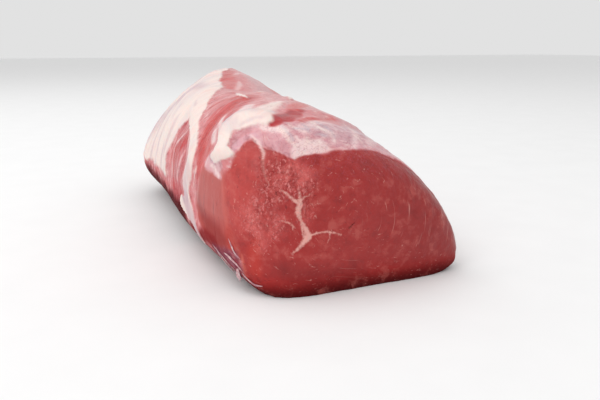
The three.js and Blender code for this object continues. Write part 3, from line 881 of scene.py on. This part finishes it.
# painted shade of the folds, and stains, laid on the fat from the layer above
fold_shade_and_stain_here = recipe.times(recipe.attribute("fold_shade_and_stain"), recipe.span(broad, 0.3, 0.6, 0.6, 1.0))
fat_colour = recipe.mix(fold_shade_and_stain_here, fat_colour, FAT_FOLD_SHADE_AND_STAIN)
colour = recipe.mix(fat_share, colour, fat_colour)
vein_amount = recipe.frayed(recipe.attribute("vein"), grain, 1.2)
colour = recipe.mix(recipe.span(vein_amount, 0.2, 0.9), colour, VEIN_PINK)
colour = recipe.mix(recipe.times(recipe.attribute("seam"), 0.45), colour, VEIN_PINK)

crumbled_here = recipe.times(recipe.attribute("crumbled"), recipe.span(blotches, 0.3, 0.5, 0.4, 1.0))
shaken = pushed(place, place, {"Scale": 330, "Detail": 3}, (0.003, 0.003, 0.003))
crumb = recipe.cells(recipe.scaled(shaken, (620, 620, 620)))
crumb_top = recipe.span(crumb, 0.62, 0.1)
ragged = recipe.noise(recipe.scaled(shaken, (420, 420, 420)), 5.0, 0.7)
crumb_dark = recipe.times(recipe.span(ragged, 0.48, 0.36, 0.0, 0.24), crumbled_here)
colour = recipe.mix(crumb_dark, colour, CUT_LINE)
crumb_light = recipe.times(recipe.span(ragged, 0.48, 0.7, 0.0, 0.42), crumbled_here)
colour = recipe.mix(crumb_light, colour, CRUMB_AND_GLINT_PINK)
# Painted glints: short pink dashes, mostly on the crumbled patch and a few over the rest of the cut, stand in
# for wet highlights.
glint_dash_sockets = {"Vector": shaken, "Rotation": (0, 1.1, 0), "Scale": (900, 800, 520)}
glint_dash = recipe.noise(recipe.node("ShaderNodeMapping", sockets=glint_dash_sockets).outputs["Vector"], 2.0, 0.6)
painted_glint = recipe.times(recipe.span(glint_dash, 0.55, 0.66), recipe.math("ADD", crumbled_here, 0.02))
colour = recipe.mix(recipe.times(recipe.times(painted_glint, on_cut), 0.7), colour, CRUMB_AND_GLINT_PINK)

fibre_share = recipe.times(lively, recipe.span(fat_share, 0, 1, 1.0, 0.45))
normal = recipe.bump(recipe.times(fine_streaks, fibre_share), 0.0012, 0.6)
normal = recipe.bump(recipe.times(hairs, lively), 0.0002, 0.5, normal)
normal = recipe.bump(recipe.times(mottle, recipe.math("ADD", on_cut, 0.3)), 0.0007, 0.5, normal)
rubble = recipe.math("MULTIPLY_ADD", crumb_top, 0.5, ragged)
normal = recipe.bump(recipe.times(rubble, crumbled_here), 0.0012, 0.9, normal)
normal = recipe.bump(recipe.times(crumbs, on_cut), 0.0002, 0.5, normal)

roughness = recipe.math("MULTIPLY_ADD", fat_share, 0.12, recipe.span(mottle, 0.3, 0.7, 0.36, 0.5))
matt_here = recipe.attribute("matt")
roughness = recipe.math("MAXIMUM", roughness, recipe.span(matt_here, 0.0, 1.0, 0.3, 0.95))
coat = recipe.times(recipe.span(matt_here, 0.0, 1.0, 0.8, 0.0), recipe.span(fat_share, 0.0, 1.0, 1.0, 0.55))
shader = recipe.node(
    "ShaderNodeBsdfPrincipled",
    {"subsurface_method": "RANDOM_WALK"},
    {
        "Base Color": colour,
        "Roughness": roughness,
        "IOR": 1.4,
        "Specular IOR Level": 0.15,
        "Subsurface Weight": 0.2,
        "Subsurface Radius": (1.0, 0.35, 0.25),
        "Subsurface Scale": 0.0014,
        "Coat Weight": coat,
        "Coat Roughness": 0.3,
        "Coat IOR": 1.38,
        "Normal": normal,
        "Coat Normal": normal,
    },
)
raw_veal = recipe.finish(shader.outputs["BSDF"])
meat_mesh.materials.append(raw_veal)
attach(meat, "root")
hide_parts("veal_eye_of_round")


# Shreds of film
# Thin strips of film came loose where the knife left the meat: white lines along the foot of the cut, whose
# ends sink into the meat, and a small tag that hangs free.
SHREDS = [  # half width, half thickness, and a path: distance behind the cut, clock, height off the skin
    (0.5, 0.22, [(25, 187, 0), (22.5, 191, 0.3), (20, 196.5, 0.3), (17, 201.5, 0)]),
    (0.65, 0.25, [(31, 200, 0), (26, 200, 0.3), (22, 203.5, 0.4), (19, 207.5, 0.3), (16.6, 212.5, 0)]),
    (0.8, 0.25, [(42.5, 200, 0), (41, 206, 0.3), (38, 213, 0.4), (33, 219, 0.5), (28.6, 221.4, 0.8)]),
    (2.2, 0.2, [(19.6, 210, 0), (20.2, 213.5, 0.3), (20.8, 217, 0.8), (21.4, 220.5, 1.5),
                (21.8, 223.5, 2.1)]),
    (0.6, 0.25, [(17, 215, 0), (14.5, 220, 0.4), (11.9, 224.5, 0.4), (9.5, 227, 0.4), (7.9, 228.5, 0.1)]),
    (0.35, 0.2, [(48, 201, 0), (40, 203, 0.3), (30, 208, 0.3), (23, 214, 0.1)]),
]


SHRED_SIDES = 12
FIRST_SHRED_SEED = 201


def above_skin(path):
    """Places over the finished skin, and the way out of it there, for a shred's path."""
    rows = []
    for distance, angle, height in path:
        column = np.abs(degrees[0] - angle).argmin()
        here = np.concatenate([shape[:, column], outward[:, column]], axis=-1)
        here = np.array([np.interp(distance, behind[:, column], value) for value in here.T])
        rows.append(np.concatenate([here[:3] + height * here[3:], here[3:]]))
    return np.array(rows)


def strip(half_width, half_thickness, path, seed):
    """Rings of an ellipse carried along a curve over the skin. It shrinks to a point at both ends."""
    line = curve_through(above_skin(path), steps=12)
    spine, out = line[:, :3], line[:, 3:]
    along = np.gradient(spine, axis=0)
    across = np.cross(along, out)
    across /= np.linalg.norm(across, axis=-1, keepdims=True)
    taper = np.sin(np.pi * np.linspace(0, 1, len(spine))) ** 0.6 * (1 + 0.35 * cloudy(spine, 4, seed))
    taper = np.maximum(taper, 0)[:, None, None]
    turn = np.linspace(0, 2 * np.pi, SHRED_SIDES, endpoint=False)[:, None]
    ring = across[:, None] * half_width * np.cos(turn) + out[:, None] * half_thickness * np.sin(turn)
    return spine[:, None] + ring * taper


film = Recipe("white_film")
film_place = film.node("ShaderNodeTexCoord").outputs["Object"]
film_cloud = film.noise(film.scaled(film_place, (500, 500, 500)), 3.0)
film_shader = film.node(
    "ShaderNodeBsdfPrincipled",
    {"subsurface_method": "RANDOM_WALK"},
    {
        "Base Color": film.mix(film.span(film_cloud, 0.35, 0.65), srgb(212, 178, 178), srgb(180, 124, 134)),
        "Roughness": 0.45,
        "Specular IOR Level": 0.3,
        "Subsurface Weight": 0.2,
        "Subsurface Radius": (1.0, 0.5, 0.4),
        "Subsurface Scale": 0.0008,
        "Normal": film.bump(film_cloud, 0.0003, 0.6),
    },
)
white_film = film.finish(film_shader.outputs["BSDF"])
for number, (half_width, half_thickness, path) in enumerate(SHREDS, start=1):
    name = f"film_shred_{number}"
    seed = FIRST_SHRED_SEED + number - 1
    shred_mesh = closed_mesh(name, strip(half_width, half_thickness, path, seed) * MM + to_frame)
    shred = bpy.data.objects.new(name, shred_mesh)
    bpy.context.scene.collection.objects.link(shred)
    shred_mesh.materials.append(white_film)
    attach(shred, "root")


# The floor, the light and the camera
# A plain pale floor and soft studio lights. The camera stands low and to the left of the cut face, as a cook
# sees the meat from across a worktop.
FLOOR_SIZE = 12.0
SKY_STRENGTH = 0.76
floor_mesh = bpy.data.meshes.new("floor")
corners = np.array([(-1, -1, 0), (1, -1, 0), (1, 1, 0), (-1, 1, 0)]) * FLOOR_SIZE / 2
floor_mesh.from_pydata(corners.tolist(), [], [(0, 1, 2, 3)])
floor = bpy.data.objects.new("floor", floor_mesh)
bpy.context.scene.collection.objects.link(floor)
paper = Recipe("pale_floor")
paper_place = paper.node("ShaderNodeTexCoord").outputs["Object"]
paper_fleck = paper.noise(paper.scaled(paper_place, (30, 30, 30)), 2.0)
paper_colour = paper.mix(paper_fleck, (0.86, 0.86, 0.86, 1), (0.9, 0.9, 0.9, 1))
paper_shader = paper.node("ShaderNodeBsdfPrincipled", sockets={"Base Color": paper_colour, "Roughness": 0.8})
floor_mesh.materials.append(paper.finish(paper_shader.outputs["BSDF"]))

world = bpy.data.worlds.new("studio")
world.use_nodes = True
sky = world.node_tree.nodes["Background"]
sky.inputs["Color"].default_value = (1, 1, 1, 1)
sky.inputs["Strength"].default_value = SKY_STRENGTH
bpy.context.scene.world = world
bpy.context.scene.view_settings.view_transform = "Standard"


def soft_light(name, place, aim, size, watts):
    """A square area light at a place, turned so that its face looks at a point."""
    lamp = bpy.data.lights.new(name, "AREA")
    lamp.shape, lamp.size, lamp.energy = "SQUARE", size, watts
    holder = bpy.data.objects.new(name, lamp)
    bpy.context.scene.collection.objects.link(holder)
    holder.location = place
    away = np.array(place) - np.array(aim)
    tilt = math.atan2(math.hypot(away[0], away[1]), away[2])
    holder.rotation_euler = (tilt, 0, math.atan2(away[0], -away[1]))
    return holder


soft_light("overhead_light", (-0.5, 0.5, 1.6), (0, 0.0, 0.05), 1.4, 9.2)
soft_light("left_light", (-1.1, -0.7, 1.0), (0, 0, 0.04), 0.8, 5.6)

CAMERA_PLACE = (-0.1566, -0.4166, 0.115)
CAMERA_TURN = 24.5
CAMERA_DIP = 13.03
FOCAL_PIXELS, PHOTO_WIDTH = 670, 600
lens_data = bpy.data.cameras.new("camera")
lens_data.sensor_width = 36
lens_data.lens = FOCAL_PIXELS / PHOTO_WIDTH * lens_data.sensor_width
lens_data.clip_start = 0.01
camera = bpy.data.objects.new("camera", lens_data)
bpy.context.scene.collection.objects.link(camera)
camera.location = CAMERA_PLACE
camera.rotation_euler = (math.radians(90 - CAMERA_DIP), 0, math.radians(-CAMERA_TURN))
bpy.context.scene.camera = camera
